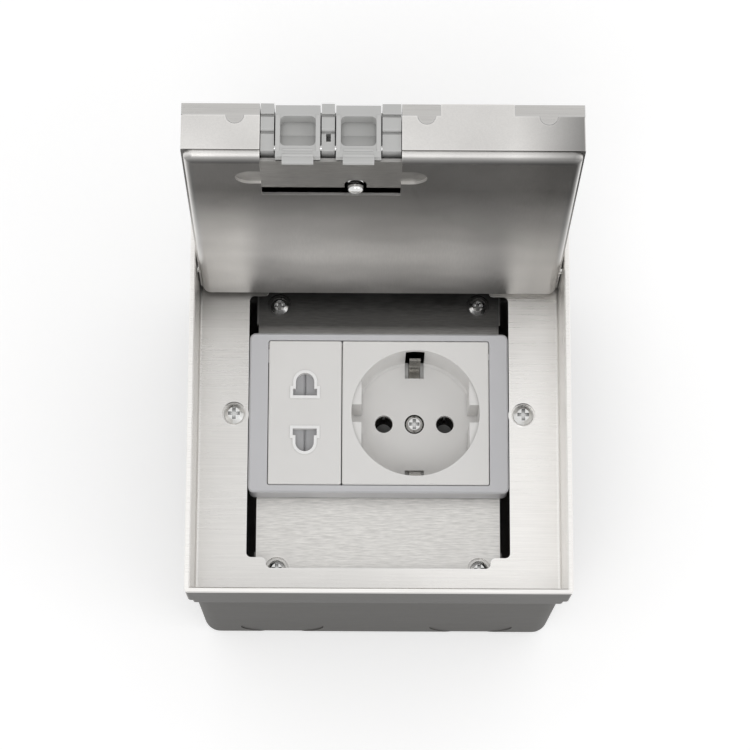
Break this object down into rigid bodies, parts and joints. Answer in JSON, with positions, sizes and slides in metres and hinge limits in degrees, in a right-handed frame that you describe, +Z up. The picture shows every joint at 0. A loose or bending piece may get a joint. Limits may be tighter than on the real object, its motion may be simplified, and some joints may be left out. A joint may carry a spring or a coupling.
{
  "type": "floor socket box",
  "caption": "Recessed steel floor socket box with a hinged lid, tipping flaps for cables in the lid's free edge, and shuttered and earthed socket modules on a sunk plate.",
  "frame": {"origin": "centre of the back box's underside", "axes": "+Z up out of the floor, +Y towards the lid's hinge, +X to the right seen from the front"},
  "size_m": [0.1134, 0.1216, 0.1819],
  "materials": {
    "steel": "fine brushed stainless steel",
    "lid_steel": "fine brushed stainless steel, drawn",
    "carrier_steel": "coarse brushed stainless steel",
    "box_steel": "dull mill-finish steel",
    "plated": "bright zinc and nickel plate",
    "spring_strip": "nickel-plated spring strip",
    "brass": "plain brass",
    "grey_plastic": "satin light grey moulding",
    "white_plastic": "semi-gloss white moulding",
    "shutter_plastic": "satin grey moulding",
    "base_plastic": "matt white moulding",
    "outlet_plastic": "satin light grey moulding"
  },
  "bodies": {
    "box": {"frame": "steel", "hinge_pins": "plated", "frame_screws": "plated", "back_box": "box_steel", "box_lugs": "box_steel", "carrier_bracket_front": "box_steel", "carrier_bracket_rear": "box_steel", "earth_terminal": "brass", "earth_screw": "plated", "carrier_plate": "carrier_steel", "carrier_screws": "plated", "faceplate": "grey_plastic", "universal_front": "white_plastic", "universal_base": "base_plastic", "universal_contacts": "brass", "universal_terminals": "plated", "schuko_front": "white_plastic", "schuko_base": "base_plastic", "schuko_contacts": "brass", "schuko_earth_strip": "spring_strip", "schuko_screw": "plated", "schuko_terminals": "plated"},
    "lid": {"lid_cover": "steel", "lid_pan": "lid_steel", "hinge_plates": "box_steel", "lid_stud": "plated", "outlet_housing": "outlet_plastic", "outlet_plate": "carrier_steel", "flap_pins": "plated"},
    "flap_left": {"outlet_flap_left": "outlet_plastic"},
    "flap_right": {"outlet_flap_right": "outlet_plastic"},
    "shutter_left": {"shutter_left": "shutter_plastic"},
    "shutter_right": {"shutter_right": "shutter_plastic"}
  },
  "joints": [
    {"name": "lid_hinge", "type": "hinge", "parent": "box", "child": "lid", "pos_m": [0, 0.0424, 0.086], "axis": [1, 0, 0], "range_deg": [0, 95.1]},
    {"name": "flap_left_hinge", "type": "hinge", "parent": "lid", "child": "flap_left", "pos_m": [-0.0231, 0.05054, 0.1795], "axis": [-1, 0, 0], "range_deg": [0, 27]},
    {"name": "flap_right_hinge", "type": "hinge", "parent": "lid", "child": "flap_right", "pos_m": [-0.00665, 0.05054, 0.1795], "axis": [-1, 0, 0], "range_deg": [0, 27]},
    {"name": "shutter_right_slide", "type": "slide", "parent": "box", "child": "shutter_right", "axis": [1, 0, 0], "range_m": [0, 0.0034], "stiffness_N_per_m": 60, "springref_m": -0.001},
    {"name": "shutter_left_slide", "type": "slide", "parent": "box", "child": "shutter_left", "axis": [-1, 0, 0], "range_m": [0, 0.0034], "stiffness_N_per_m": 60, "springref_m": -0.001}
  ],
  "couplings": [
    {"joint": "shutter_left_slide", "follows": "shutter_right_slide", "ratio": 1}
  ]
}
